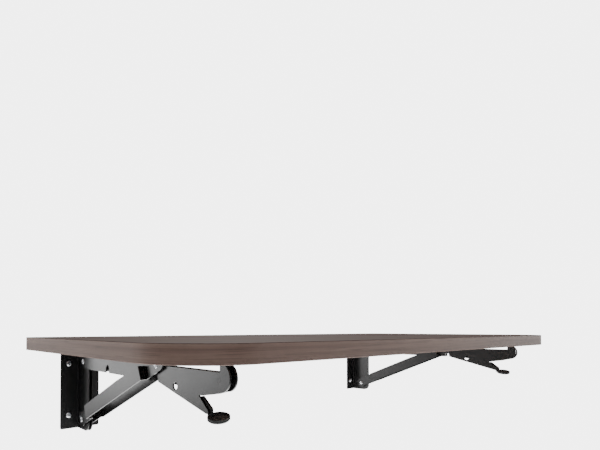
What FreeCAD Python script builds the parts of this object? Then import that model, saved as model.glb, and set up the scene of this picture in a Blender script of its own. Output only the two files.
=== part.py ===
# Wall mounted drop leaf table: a panel on two folding brackets.
# Millimetres, +Z up.  The wall is the plane y = 0 and the table stands out toward -Y.
# The origin is the centre of the wall hole pattern, on the wall plane.
import FreeCAD, Part
import Sketcher
import math
import os
import re

SIZES = [
    ("board_length", "860", "tabletop, along the wall"),
    ("board_depth", "400", "tabletop, out from the wall"),
    ("board_thickness", "18", "tabletop with its laminate"),
    ("corner_radius", "78", "rounded front corners"),
    ("band_thickness", "1", "edge band"),
    ("band_ease", "0.6", "bevel of the edge band"),
    ("wall_gap", "6", "wall to the back edge of the tabletop"),
    ("bracket_inset", "79", "end of the tabletop to a bracket"),
    ("sheet", "1.5", "steel sheet of plates, arms and bars"),
    ("running_gap", "0.3", "side play between sheets that pass each other"),
    ("plate_width", "59", "wall plate"),
    ("plate_height", "118", "wall plate"),
    ("plate_corner", "2.5", "corner radius of the wall plate"),
    ("hole_spacing_side", "35", "wall holes, sideways spacing"),
    ("hole_margin", "20.5", "wall holes to the upper and lower end of the plate"),
    ("wall_hole", "5.5", "wall hole diameter"),
    ("web_gap", "3.4", "space between the two webs"),
    ("web_foot_radius", "12", "lower outer corner of a web"),
    ("pin_margin", "16.5", "pins to the upper and lower end of the plate"),
    ("hinge_standoff", "26", "wall to the two pins"),
    ("hinge_drop", "18.5", "underside of the tabletop above the hinge pin"),
    ("pin_diameter", "6", "hinge pin and foot pin"),
    ("head_diameter", "8", "heads of pins and knee rivets"),
    ("head_thickness", "1.5", "heads of pins and knee rivets"),
    ("head_ease", "0.5", "bevel of the heads"),
    ("pin_clearance", "0.05", "radial play of a turning hole"),
    ("spacer_radius", "4", "rings that hold the brace off the web"),
    ("fold_limit", "87", "how far the leaf folds down, degrees"),
    ("arm_width", "40", "flange under the tabletop"),
    ("arm_start", "14", "wall to the flange"),
    ("arm_margin", "7.5", "flange beyond the ears"),
    ("arm_corner", "4", "corner radius of the flange"),
    ("cheek_eye", "10.5", "rounded end of a cheek around the hinge pin"),
    ("notch_play", "1", "room around a spacer in the folded arm"),
    ("ear_gap", "2.4", "space between the two ears of the lever pivot"),
    ("ear_radius", "7.5", "ear around the lever pin"),
    ("knee_rise", "8.5", "knee above the hinge pin"),
    ("foot_eye", "10.5", "rounded foot of a brace bar"),
    ("bar_upper", "10.5", "upper edge of a bar above its centre line"),
    ("bar_lower", "8.5", "lower edge of a bar below its centre line"),
    ("knee_eye", "8", "rounded knee end of a brace bar"),
    ("knee_tip", "15", "knee rivet to the tip of a bar"),
    ("knee_tip_round", "2.5", "corners of the tip"),
    ("knee_tip_slope", "7", "length of the slope under the tip"),
    ("knee_offset", "1.7", "knee end of a bar outward of its foot"),
    ("left_side", "16", "outer face of the left bar, from the middle of the bracket"),
    ("right_side", "10.5", "outer face of the right bar, from the middle of the bracket"),
    ("foot_step", "38", "foot pin to the lower step"),
    ("knee_step", "27", "upper step to the knee rivet"),
    ("taper_run", "60", "falling part of the upper edge, up to the upper step"),
    ("bend_radius", "1.2", "outside of the bends of a bar"),
    ("stud_diameter", "5", "knee rivet"),
    ("boss_gap", "0.4", "cheek to the boss of a knee rivet"),
    ("lever_reach", "327", "hinge pin to the lever pin"),
    ("lever_sheet", "2", "lever plate"),
    ("lever_width", "10", "lever, over both of its plates"),
    ("end_radius", "13.3", "rounded outer end of the lever"),
    ("end_shift", "2.5", "middle of the rounded end beyond the lever pin"),
    ("end_rise", "3", "middle of the rounded end above the lever pin"),
    ("nose_reach", "1", "lever pin to the upright face under the flange"),
    ("nose_width", "14", "space in front of the upright face"),
    ("lever_top", "8", "upper edge of the lever above its pin"),
    ("catch_reach", "109", "lever pin to the notch that catches the knee"),
    ("catch_lip", "5", "notch to the end of the lever"),
    ("catch_gap", "4", "end of the cheeks to the lever"),
    ("catch_play", "1", "notch wider than a knee rivet"),
    ("heel_slope", "4", "lean of the catch end"),
    ("heel_drop", "10.5", "lower corner of the catch end below the pin"),
    ("bridge_near", "9.5", "lever pin to the near end of the bridge"),
    ("bridge_near_drop", "13.5", "near end of the bridge below the pin"),
    ("bridge_reach", "25", "lever pin to the far end of the bridge"),
    ("bridge_drop", "16", "far end of the bridge below the pin"),
    ("bridge_sheet", "1.8", "bridge between the two plates"),
    ("crook_reach", "32", "lever pin to the crook above the tail"),
    ("crook_drop", "16.8", "crook below the pin"),
    ("tail_heel", "17", "lever pin to the side of the tail"),
    ("tail_heel_drop", "29.5", "side of the tail below the pin"),
    ("tail_near", "16", "lever pin to the near corner of the tail"),
    ("tail_width", "4.5", "tip of the tail"),
    ("lever_pin", "5", "lever pin diameter"),
    ("tail_drop", "33", "lever pin down to the tip of the tail"),
    ("light_hole", "8.5", "hole in the lever"),
    ("light_hole_reach", "75", "lever pin to the hole"),
    ("light_hole_drop", "11.5", "hole below the pin"),
    ("pad_diameter", "22", "finger pad"),
    ("pad_thickness", "4", "finger pad"),
    ("pad_tilt", "7", "slope of the finger pad away from the wall, degrees"),
    ("pad_lean", "10", "slope of the finger pad sideways, degrees"),
    ("pad_shift", "8.5", "middle of the pad inward from the lever pin"),
    ("pad_drop", "3", "middle of the pad below the tip of the tail"),
    ("pad_side", "1.5", "middle of the pad, sideways from the middle of the bracket"),
    ("pad_hollow", "1.3", "hollow in the upper face of the pad"),
    ("pad_rim", "1.4", "raised rim around the hollow"),
    ("pad_bevel", "1", "lower edge of the pad"),
    ("stem_width", "3", "stem of the finger pad, sideways"),
    ("stem_depth", "2.8", "stem, seen from the side"),
    ("stem_side", "14.2", "lever pin to the outer side of the stem"),
    ("stem_bend", "27.5", "bend of the stem below the pin"),
    ("stem_gap", "0.8", "crook to the top of the stem"),
    ("slot_play", "0.1", "room around the tail in the pad"),
    ("screw_start", "40", "hinge pin to the first pair of arm screws"),
    ("screw_margin", "6", "arm screws to the end of the flange"),
    ("screw_spacing_side", "28", "arm screws, sideways"),
    ("screw_hole", "4.2", "holes in the flange for the arm screws"),
    ("screw_shank", "3.5", "arm screw shank and its pilot hole"),
    ("screw_length", "12", "arm screw under its head"),
    ("screw_head", "6.6", "arm screw head diameter"),
    ("screw_head_height", "2", "arm screw head height"),
    ("screw_ease", "0.7", "bevel of the screw head"),
]

DERIVED = [
    ("bracket_offset", "board_length / 2 - bracket_inset"),
    ("lever_length", "catch_reach + catch_lip"),
    ("knee_reach", "lever_reach - catch_reach"),
    ("cheek_reach", "lever_reach - lever_length - catch_gap"),
    ("arm_end", "lever_reach + ear_radius + arm_margin"),
    ("tail_far", "tail_near + tail_width"),
    ("screw_pitch", "arm_end - screw_margin - screw_start"),
    ("hole_spacing_height", "plate_height - 2 * hole_margin"),
    ("pin_spacing", "plate_height - 2 * pin_margin"),
    ("hinge_height", "pin_spacing / 2"),
    ("underside", "hinge_height + hinge_drop"),
    ("web_inner", "web_gap / 2"),
    ("web_outer", "web_inner + sheet"),
    ("cheek_inner", "web_outer + running_gap"),
    ("cheek_outer", "cheek_inner + sheet"),
    ("bar_inner", "cheek_outer + running_gap"),
    ("bar_outer", "bar_inner + sheet"),
    ("knee_inner", "bar_inner + knee_offset"),
    ("knee_outer", "knee_inner + sheet"),
    ("web_crown", "plate_height / 2 - hinge_height"),
    ("web_reach", "hinge_standoff + web_crown"),
    ("brace_rise", "pin_spacing + knee_rise"),
    ("brace_length", "sqrt(knee_reach ^ 2 + brace_rise ^ 2)"),
    ("brace_angle", "atan(brace_rise / knee_reach) / 1deg"),
    ("step_end", "brace_length - knee_step"),
    ("taper_start", "step_end - taper_run"),
    ("tip_bend", "knee_eye * (1 - cos(brace_angle * 1deg)) / sin(brace_angle * 1deg)"),
    ("tip_top", "(knee_eye - knee_tip * sin(brace_angle * 1deg)) / cos(brace_angle * 1deg)"),
    ("pin_bore", "pin_diameter / 2 + pin_clearance"),
    ("notch_radius", "spacer_radius + notch_play"),
    ("notch_reach", "pin_spacing * sin(fold_limit * 1deg) - notch_play / 2"),
    ("notch_level", "-pin_spacing * cos(fold_limit * 1deg)"),
    ("lever_side", "lever_width / 2"),
    ("lever_inner", "lever_side - lever_sheet"),
    ("pilot_depth", "screw_length - sheet + 0.5"),
]

NAMES = [row[0] for row in SIZES] + [row[0] for row in DERIVED]
WORD = re.compile(r"\b(" + "|".join(NAMES) + r")\b")

doc = FreeCAD.newDocument("drop_leaf_table")
sheet = doc.addObject("Spreadsheet::Sheet", "sizes")


def bound(text):
    """Expression text with every size name pointing at the spreadsheet."""
    return WORD.sub(r"sizes.\1", text)


def fill_sheet():
    """Write the free sizes as numbers and the derived ones as formulas."""
    row = 1
    for name, value, note in SIZES:
        sheet.set("A%d" % row, name)
        sheet.set("B%d" % row, value)
        sheet.set("C%d" % row, note)
        sheet.setAlias("B%d" % row, name)
        row += 1
    for name, formula in DERIVED:
        sheet.set("A%d" % row, name)
        sheet.set("B%d" % row, "=" + formula)
        sheet.setAlias("B%d" % row, name)
        row += 1
    doc.recompute()


def new_body(name, base=("0", "0", "0")):
    """A named body whose place is bound to the sizes."""
    body = doc.addObject("PartDesign::Body", name)
    body.Label = name
    body.AllowCompound = True
    for axis, text in zip("xyz", base):
        body.setExpression("Placement.Base." + axis, bound(text))
    return body


def origin_plane(body, role):
    """One of the body's own origin planes."""
    for feature in body.Origin.OriginFeatures:
        if feature.Role == role:
            return feature
    raise RuntimeError("no plane " + role)


def new_sketch(body, name, role, offset="0"):
    """A sketch on an origin plane, moved along the plane's normal."""
    sketch = body.newObject("Sketcher::SketchObject", name)
    sketch.AttachmentSupport = [(origin_plane(body, role), "")]
    sketch.MapMode = "FlatFace"
    sketch.setExpression("AttachmentOffset.Base.z", bound(offset))
    return sketch


def value_of(sketch, text):
    """Present value of a size expression."""
    result = sketch.evalExpression(bound(text))
    return float(getattr(result, "Value", result))


def pin_point(sketch, geometry, position, across, up):
    """Bind a sketch point to two expressions."""
    for kind, text in (("DistanceX", across), ("DistanceY", up)):
        start = value_of(sketch, text)
        index = sketch.addConstraint(Sketcher.Constraint(kind, -1, 1, geometry, position, start))
        sketch.setExpression("Constraints[%d]" % index, bound(text))


def arc_between(start, end, radius):
    """Counter-clockwise arc that bulges outward from start to end."""
    chord = end - start
    half = chord.Length / 2
    side = FreeCAD.Vector(-chord.y, chord.x, 0).normalize()
    centre = start + chord * 0.5 + side * math.sqrt(max(radius ** 2 - half ** 2, 0))
    first = math.atan2(start.y - centre.y, start.x - centre.x)
    last = math.atan2(end.y - centre.y, end.x - centre.x)
    circle = Part.Circle(centre, FreeCAD.Vector(0, 0, 1), radius)
    return Part.ArcOfCircle(circle, first, last)


def draw_outline(sketch, corners):
    """Closed outline; a corner with a third entry starts an arc of that radius."""
    points = [FreeCAD.Vector(value_of(sketch, c[0]), value_of(sketch, c[1]), 0) for c in corners]
    count = len(corners)
    edges = []
    for i in range(count):
        start = points[i]
        end = points[(i + 1) % count]
        if len(corners[i]) == 3:
            edge = arc_between(start, end, value_of(sketch, corners[i][2]))
        else:
            edge = Part.LineSegment(start, end)
        edges.append(sketch.addGeometry(edge))
    for i in range(count):
        following = edges[(i + 1) % count]
        sketch.addConstraint(Sketcher.Constraint("Coincident", edges[i], 2, following, 1))
    for i in range(count):
        pin_point(sketch, edges[i], 1, corners[i][0], corners[i][1])
        if len(corners[i]) == 3:
            radius = value_of(sketch, corners[i][2])
            index = sketch.addConstraint(Sketcher.Constraint("Radius", edges[i], radius))
            sketch.setExpression("Constraints[%d]" % index, bound(corners[i][2]))


def draw_circle(sketch, across, up, diameter):
    """Circle bound in place and size."""
    centre = FreeCAD.Vector(value_of(sketch, across), value_of(sketch, up), 0)
    size = value_of(sketch, diameter)
    circle = Part.Circle(centre, FreeCAD.Vector(0, 0, 1), size / 2)
    index = sketch.addGeometry(circle)
    pin_point(sketch, index, 3, across, up)
    row = sketch.addConstraint(Sketcher.Constraint("Diameter", index, size))
    sketch.setExpression("Constraints[%d]" % row, bound(diameter))


def outline_sketch(body, name, role, offset, corners):
    """Sketch with one closed outline."""
    sketch = new_sketch(body, name + "_outline", role, offset)
    draw_outline(sketch, corners)
    return sketch


def pad(body, name, sketch, length):
    """Add material along the sketch normal."""
    feature = body.newObject("PartDesign::Pad", name)
    feature.Profile = sketch
    feature.setExpression("Length", bound(length))
    body.Tip = feature
    doc.recompute()
    return feature


def pocket(body, name, sketch, length, reverse=False):
    """Remove material; the sketch normal points into the material when reverse is set."""
    feature = body.newObject("PartDesign::Pocket", name)
    feature.Profile = sketch
    feature.Reversed = reverse
    feature.setExpression("Length", bound(length))
    body.Tip = feature
    doc.recompute()
    return feature


def pocket_through(body, name, sketch):
    """Remove material to both sides of the sketch."""
    feature = body.newObject("PartDesign::Pocket", name)
    feature.Profile = sketch
    feature.Type = "ThroughAll"
    feature.Midplane = True
    body.Tip = feature
    doc.recompute()
    return feature


def side_plate(body, name, inner, thickness, corners):
    """Plate seen from the side, from the given sideways place outward."""
    sketch = outline_sketch(body, name, "YZ_Plane", inner, corners)
    return pad(body, name, sketch, thickness)


def side_disc(body, name, inner, thickness, across, up, diameter):
    """Round plate or pin across the bracket."""
    sketch = new_sketch(body, name + "_outline", "YZ_Plane", inner)
    draw_circle(sketch, across, up, diameter)
    return pad(body, name, sketch, thickness)


def side_hole(body, name, across, up, diameter):
    """Round hole through everything, across the bracket."""
    sketch = new_sketch(body, name + "_outline", "YZ_Plane")
    draw_circle(sketch, across, up, diameter)
    return pocket_through(body, name, sketch)


def mirror(body, name, originals):
    """Repeat features on the other side of the bracket's middle plane."""
    feature = body.newObject("PartDesign::Mirrored", name)
    feature.Originals = originals
    feature.MirrorPlane = (origin_plane(body, "YZ_Plane"), [""])
    body.Tip = feature
    doc.recompute()
    return feature


def grid(body, name, originals, sketch, first, second, second_backward=False):
    """Repeat features in rows and columns; each step is axis, length and count."""
    feature = body.newObject("PartDesign::MultiTransform", name)
    steps = []
    for label, step in (("_rows", first), ("_columns", second)):
        pattern = body.newObject("PartDesign::LinearPattern", name + label)
        pattern.Direction = (sketch, [step[0]])
        pattern.setExpression("Length", bound(step[1]))
        pattern.Occurrences = step[2]
        steps.append(pattern)
    steps[1].Reversed = second_backward
    feature.Originals = originals
    feature.Transformations = steps
    body.Tip = feature
    doc.recompute()
    return feature


def ease(body, name, radius, wanted, bevel=False):
    """Round or bevel the edges for which the test holds."""
    tip = body.Tip
    names = []
    for index, edge in enumerate(tip.Shape.Edges):
        if wanted(edge):
            names.append("Edge%d" % (index + 1))
    if not names:
        raise RuntimeError("no edges for " + name)
    kind, field = ("Chamfer", "Size") if bevel else ("Fillet", "Radius")
    feature = body.newObject("PartDesign::" + kind, name)
    feature.Base = (tip, names)
    feature.setExpression(field, bound(radius))
    body.Tip = feature
    doc.recompute()
    return feature


def along(edge, axis):
    """True for a straight edge that runs along the axis."""
    if not isinstance(edge.Curve, Part.Line):
        return False
    return abs(abs(edge.Curve.Direction.dot(axis)) - 1) < 1e-6


def size(name):
    """Present value of a named size."""
    result = sheet.get(name)
    return float(getattr(result, "Value", result))


def near(value, target):
    """True when a measured place equals a size."""
    return abs(value - target) < 0.01


X_AXIS = FreeCAD.Vector(1, 0, 0)
Y_AXIS = FreeCAD.Vector(0, 1, 0)
Z_AXIS = FreeCAD.Vector(0, 0, 1)


# ---------------------------------------------------------------- tabletop

def panel_corners(inset, back):
    """Outline of the tabletop seen from above, with its two round front corners."""
    radius = "(corner_radius - %s)" % inset
    side = "(board_length / 2 - %s)" % inset
    front = "(-wall_gap - board_depth + %s)" % inset
    return [
        ("-" + side, "%s + %s" % (front, radius), radius),
        ("-%s + %s" % (side, radius), front),
        ("%s - %s" % (side, radius), front, radius),
        (side, "%s + %s" % (front, radius)),
        (side, back),
        ("-" + side, back),
    ]


def make_board():
    """Core board with the pilot holes of the arm screws."""
    body = new_body("tabletop_board")
    back = "-wall_gap - band_thickness"
    outline = outline_sketch(body, "board", "XY_Plane", "underside",
                             panel_corners("band_thickness", back))
    pad(body, "board", outline, "board_thickness")
    holes = new_sketch(body, "pilot_holes_outline", "XY_Plane", "underside")
    for side in ("-bracket_offset", "bracket_offset"):
        for column in ("- screw_spacing_side / 2", "+ screw_spacing_side / 2"):
            for count in range(2):
                up = "-hinge_standoff - screw_start - %d * screw_pitch" % count
                draw_circle(holes, side + column, up, "screw_shank")
    pocket(body, "pilot_holes", holes, "pilot_depth", reverse=True)
    return body


def make_front_band():
    """Band around the front and both ends of the board."""
    body = new_body("front_edge_band")
    back = "-wall_gap - band_thickness"
    outer = outline_sketch(body, "band", "XY_Plane", "underside", panel_corners("0", back))
    pad(body, "band", outer, "board_thickness")
    rim = (size("underside"), size("underside") + size("board_thickness"))
    limit = -size("wall_gap") - size("band_thickness")

    def on_rim(edge):
        box = edge.BoundBox
        flat = near(box.ZMin, box.ZMax) and (near(box.ZMin, rim[0]) or near(box.ZMin, rim[1]))
        return flat and not (near(box.YMin, limit) and near(box.YMax, limit))

    ease(body, "band_bevel", "band_ease", on_rim, bevel=True)
    inner = outline_sketch(body, "board_space", "XY_Plane", "underside",
                           panel_corners("band_thickness", "0"))
    pocket(body, "board_space", inner, "board_thickness", reverse=True)
    return body


def make_back_band():
    """Straight band on the edge that faces the wall."""
    body = new_body("back_edge_band")
    corners = [
        ("-board_length / 2", "-wall_gap - band_thickness"),
        ("board_length / 2", "-wall_gap - band_thickness"),
        ("board_length / 2", "-wall_gap"),
        ("-board_length / 2", "-wall_gap"),
    ]
    outline = outline_sketch(body, "band", "XY_Plane", "underside", corners)
    pad(body, "band", outline, "board_thickness")
    edge_place = -size("wall_gap")
    ease(body, "band_bevel", "band_ease",
         lambda edge: along(edge, X_AXIS) and near(edge.BoundBox.YMax, edge_place), bevel=True)
    return body


# ---------------------------------------------------------------- bracket

def make_wall_plate(name, offset):
    """Wall plate with two webs that carry both pins."""
    body = new_body(name, (offset, "0", "0"))
    plate = [
        ("-plate_width / 2", "-plate_height / 2"),
        ("plate_width / 2", "-plate_height / 2"),
        ("plate_width / 2", "plate_height / 2"),
        ("-plate_width / 2", "plate_height / 2"),
    ]
    outline = outline_sketch(body, "plate", "XZ_Plane", "0", plate)
    pad(body, "plate", outline, "sheet")
    ease(body, "plate_corners", "plate_corner", lambda edge: along(edge, Y_AXIS))
    web = [
        ("-web_reach", "-plate_height / 2 + web_foot_radius", "web_foot_radius"),
        ("-web_reach + web_foot_radius", "-plate_height / 2"),
        ("-sheet / 2", "-plate_height / 2"),
        ("-sheet / 2", "plate_height / 2"),
        ("-hinge_standoff", "plate_height / 2", "web_crown"),
        ("-web_reach", "hinge_height"),
    ]
    one_web = side_plate(body, "web", "web_inner", "sheet", web)
    mirror(body, "webs", [one_web])
    root = -size("sheet")
    web_outer = size("web_outer")
    ease(body, "web_root", "sheet",
         lambda edge: along(edge, Z_AXIS) and near(edge.BoundBox.YMax, root)
         and near(abs(edge.BoundBox.XMax), web_outer))
    side_hole(body, "hinge_hole", "-hinge_standoff", "hinge_height", "pin_diameter")
    side_hole(body, "foot_hole", "-hinge_standoff", "-hinge_height", "pin_diameter")
    hole = new_sketch(body, "wall_hole_outline", "XZ_Plane")
    draw_circle(hole, "-hole_spacing_side / 2", "-hole_spacing_height / 2", "wall_hole")
    first = pocket_through(body, "wall_hole_first", hole)
    grid(body, "wall_holes", [first], hole,
         ("H_Axis", "hole_spacing_side", 2), ("V_Axis", "hole_spacing_height", 2))
    return body


def make_pin(name, offset, height, reach):
    """Headed pin across the bracket; reach is the inner face of its heads."""
    body = new_body(name, (offset, "-hinge_standoff", height))
    side_disc(body, "shank", "-(%s)" % reach, "2 * (%s)" % reach, "0", "0", "pin_diameter")
    head = side_disc(body, "head", reach, "head_thickness", "0", "0", "head_diameter")
    mirror(body, "heads", [head])
    ease(body, "head_bevel", "head_ease", lambda edge: at_outer_end(edge, body), bevel=True)
    return body


def at_outer_end(edge, body):
    """True for the outermost round edge on either side of a part."""
    box = body.Tip.Shape.BoundBox
    flat = near(edge.BoundBox.XMin, edge.BoundBox.XMax)
    return flat and (near(edge.BoundBox.XMax, box.XMax) or near(edge.BoundBox.XMin, box.XMin))


def make_spacers(name, offset):
    """Two rings on the foot pin, between the webs and the brace bars."""
    body = new_body(name, (offset, "-hinge_standoff", "-hinge_height"))
    length = "bar_inner - running_gap - web_outer"
    ring = side_disc(body, "ring", "web_outer", length, "0", "0", "2 * spacer_radius")
    mirror(body, "rings", [ring])
    side_hole(body, "bore", "0", "0", "pin_diameter")
    return body


def make_arm(name, offset):
    """Arm under the tabletop: flange, two cheeks on the webs and two ears for the lever."""
    body = new_body(name, (offset, "-hinge_standoff", "hinge_height"))
    back = "(hinge_standoff - arm_start)"
    flange = [
        ("-arm_width / 2", "-arm_end"),
        ("arm_width / 2", "-arm_end"),
        ("arm_width / 2", back),
        ("-arm_width / 2", back),
    ]
    outline = outline_sketch(body, "flange", "XY_Plane", "hinge_drop - sheet", flange)
    pad(body, "flange", outline, "sheet")
    ease(body, "flange_corners", "arm_corner", lambda edge: along(edge, Z_AXIS))
    cheek = [
        ("-cheek_reach", "-cheek_eye"),
        ("0", "-cheek_eye", "cheek_eye"),
        ("cheek_eye", "0"),
        ("cheek_eye", "hinge_drop - sheet / 2"),
        ("-cheek_reach", "hinge_drop - sheet / 2"),
    ]
    one_cheek = side_plate(body, "cheek", "cheek_inner", "sheet", cheek)
    ear = [
        ("-lever_reach - ear_radius", "0", "ear_radius"),
        ("-lever_reach", "-ear_radius", "ear_radius"),
        ("-lever_reach + ear_radius", "0", "ear_radius"),
        ("-lever_reach", "ear_radius"),
        ("-lever_reach - nose_reach", "ear_radius"),
        ("-lever_reach - nose_reach", "hinge_drop - sheet / 2"),
        ("-lever_reach - ear_radius", "hinge_drop - sheet / 2"),
    ]
    one_ear = side_plate(body, "ear", "ear_gap / 2", "sheet", ear)
    mirror(body, "cheeks_and_ears", [one_cheek, one_ear])
    top = size("hinge_drop") - size("sheet")
    cheek_outer = size("cheek_outer")
    ease(body, "cheek_root", "sheet",
         lambda edge: along(edge, Y_AXIS) and near(edge.BoundBox.ZMax, top)
         and near(abs(edge.BoundBox.XMax), cheek_outer))
    side_hole(body, "hinge_bore", "0", "0", "2 * pin_bore")
    side_hole(body, "lever_pin_hole", "-lever_reach", "0", "lever_pin")
    make_notch(body)
    hole = new_sketch(body, "screw_hole_outline", "XY_Plane")
    draw_circle(hole, "-screw_spacing_side / 2", "-screw_start", "screw_hole")
    first = pocket_through(body, "screw_hole_first", hole)
    grid(body, "screw_holes", [first], hole,
         ("H_Axis", "screw_spacing_side", 2), ("V_Axis", "screw_pitch", 2), True)
    return body


def make_notch(body):
    """Notch in the lower edge of the cheeks that takes the foot pin when folded."""
    notch = [
        ("-notch_reach - notch_radius", "-cheek_eye - notch_radius"),
        ("-notch_reach + notch_radius", "-cheek_eye - notch_radius"),
        ("-notch_reach + notch_radius", "notch_level", "notch_radius"),
        ("-notch_reach", "notch_level + notch_radius", "notch_radius"),
        ("-notch_reach - notch_radius", "notch_level"),
    ]
    sketch = outline_sketch(body, "foot_pin_notch", "YZ_Plane", "0", notch)
    pocket_through(body, "foot_pin_notch", sketch)


def make_bar(name, offset, sign, side):
    """Brace bar: its middle stands outside its two ends, with a square step at each end."""
    body = new_body(name, (offset, "-hinge_standoff", "-hinge_height"))
    body.Placement = FreeCAD.Placement(FreeCAD.Vector(), FreeCAD.Rotation(X_AXIS, -10))
    body.setExpression("Placement.Rotation.Angle", bound("-brace_angle"))
    foot = [
        ("-foot_step - sheet", "-bar_lower"),
        ("-sqrt(foot_eye ^ 2 - bar_lower ^ 2)", "-bar_lower"),
        ("0", "0"),
        ("0", "bar_upper"),
        ("-foot_step - sheet", "bar_upper"),
    ]
    foot_level = level(sign, "bar_outer")
    side_plate(body, "foot", foot_level, "sheet", foot)
    side_disc(body, "foot_end", foot_level, "sheet", "0", "0", "2 * foot_eye")
    step_wall(body, "foot_step_wall", sign, ("bar_inner", side), "foot_step", "bar_upper")
    middle = [
        ("-step_end - sheet", "-bar_lower"),
        ("-foot_step", "-bar_lower"),
        ("-foot_step", "bar_upper"),
        ("-taper_start", "bar_upper"),
        ("-step_end - sheet", "knee_eye"),
    ]
    side_plate(body, "middle", level(sign, side), "sheet", middle)
    step_wall(body, "knee_step_wall", sign, ("knee_inner", side), "step_end", "knee_eye")
    knee = [
        ("-brace_length - knee_tip", "-bar_lower + knee_tip_slope / 2"),
        ("-brace_length - knee_tip + knee_tip_slope", "-bar_lower"),
        ("-step_end", "-bar_lower"),
        ("-step_end", "knee_eye"),
        ("-brace_length - tip_bend", "knee_eye"),
        ("-brace_length - knee_tip", "tip_top"),
    ]
    side_plate(body, "knee", level(sign, "knee_outer"), "sheet", knee)
    tip = -size("brace_length") - size("knee_tip")
    ease(body, "tip_corners", "knee_tip_round",
         lambda edge: along(edge, X_AXIS) and near(edge.CenterOfMass.y, tip))
    bends = (
        (sign * size(side), -size("foot_step")),
        (sign * size(side), -size("step_end") - size("sheet")),
        (sign * size("bar_inner"), -size("foot_step") - size("sheet")),
        (sign * size("knee_inner"), -size("step_end")),
    )

    def outside_bend(edge):
        centre = edge.CenterOfMass
        return along(edge, Z_AXIS) and any(near(centre.x, x) and near(centre.y, y) for x, y in bends)

    ease(body, "bends", "bend_radius", outside_bend)
    side_hole(body, "foot_bore", "0", "0", "2 * pin_bore")
    side_hole(body, "knee_bore", "-brace_length", "0", "stud_diameter")
    return body


def level(sign, outer):
    """Lower sideways face of a sheet whose outer face is given, on either side of the middle."""
    return outer + " - sheet" if sign > 0 else "-" + outer


def step_wall(body, name, sign, levels, place, top):
    """Wall across the bracket that joins two levels of a bar."""
    mark = "" if sign > 0 else "-"
    inner, outer = (mark + part for part in levels)
    wall = [
        (outer, "-%s - sheet" % place),
        (inner, "-%s - sheet" % place),
        (inner, "-" + place),
        (outer, "-" + place),
    ]
    sketch = outline_sketch(body, name, "XY_Plane", "-bar_lower", wall)
    pad(body, name, sketch, "bar_lower + " + top)


def make_knee_rivets(name, offset):
    """One headed stud in the knee end of each bar, with a boss on its inner side."""
    body = new_body(name, (offset, "-hinge_standoff", "-hinge_height"))
    body.Placement = FreeCAD.Placement(FreeCAD.Vector(), FreeCAD.Rotation(X_AXIS, -10))
    body.setExpression("Placement.Rotation.Angle", bound("-brace_angle"))
    boss_start = "cheek_outer + boss_gap"
    boss = side_disc(body, "boss", boss_start, "knee_inner - (%s)" % boss_start,
                     "-brace_length", "0", "head_diameter")
    shank = side_disc(body, "shank", "knee_inner", "sheet", "-brace_length", "0", "stud_diameter")
    head = side_disc(body, "head", "knee_outer", "head_thickness",
                     "-brace_length", "0", "head_diameter")
    mirror(body, "rivets", [boss, shank, head])
    ease(body, "head_bevel", "head_ease", lambda edge: at_outer_end(edge, body), bevel=True)
    return body


def make_lever(name, offset):
    """Release lever: two plates joined below; the left one carries the tail."""
    body = new_body(name, (offset, "-hinge_standoff - lever_reach", "hinge_height"))
    left_plate = [
        ("-end_shift", "end_rise - end_radius"),
        ("bridge_near", "-bridge_near_drop"),
        ("bridge_reach", "-bridge_drop"),
        ("crook_reach", "-crook_drop"),
        ("tail_heel", "-tail_heel_drop"),
        ("tail_near", "-tail_drop"),
        ("tail_far", "-tail_drop"),
        ("lever_length - heel_slope", "-heel_drop"),
        ("lever_length", "lever_top"),
        ("-nose_reach", "lever_top"),
        ("-nose_reach", "end_rise + end_radius / 2"),
    ]
    side_plate(body, "left_plate", "-lever_side", "lever_sheet", left_plate)
    length = size("lever_length")
    corner_ys = (length, length - size("heel_slope"), size("tail_far"), size("tail_near"), size("tail_heel"))

    def outer_corner(edge):
        place = edge.BoundBox.YMax
        return along(edge, X_AXIS) and any(near(place, y) for y in corner_ys)

    ease(body, "plate_corners", "lever_sheet", outer_corner)
    side_disc(body, "left_eye", "-lever_side", "lever_sheet", "-end_shift", "end_rise", "2 * end_radius")
    side_hole(body, "light_hole_cut", "light_hole_reach", "-light_hole_drop", "light_hole")
    side_disc(body, "right_eye", "lever_inner", "lever_sheet", "-end_shift", "end_rise", "2 * end_radius")
    right_plate = [
        ("-end_shift", "end_rise - end_radius"),
        ("bridge_near", "-bridge_near_drop"),
        ("bridge_reach", "-bridge_drop"),
        ("lever_length - heel_slope", "-heel_drop"),
        ("lever_length", "lever_top"),
        ("-nose_reach", "lever_top"),
        ("-nose_reach", "end_rise + end_radius / 2"),
    ]
    side_plate(body, "right_plate", "lever_inner", "lever_sheet", right_plate)
    bridge = [
        ("bridge_near", "-bridge_near_drop"),
        ("bridge_reach", "-bridge_drop"),
        ("bridge_reach", "-bridge_drop + bridge_sheet"),
        ("bridge_near", "-bridge_near_drop + bridge_sheet"),
    ]
    side_plate(body, "bridge", "-lever_inner", "2 * lever_inner", bridge)
    above = [
        ("-nose_reach", "lever_top"),
        ("nose_width", "lever_top"),
        ("nose_width", "hinge_drop"),
        ("-nose_reach", "hinge_drop"),
    ]
    pocket_through(body, "upright_face", outline_sketch(body, "upright_face", "YZ_Plane", "0", above))
    side_hole(body, "pin_bore_hole", "0", "0", "lever_pin + 2 * pin_clearance")
    side_hole(body, "catch_notch", "catch_reach", "knee_rise", "stud_diameter + catch_play")
    return body


def make_lever_pin(name, offset):
    """Plain pin in the ears, flush with both lever plates."""
    body = new_body(name, (offset, "-hinge_standoff - lever_reach", "hinge_height"))
    side_disc(body, "shank", "-lever_side", "2 * lever_side", "0", "0", "lever_pin")
    return body


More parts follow.
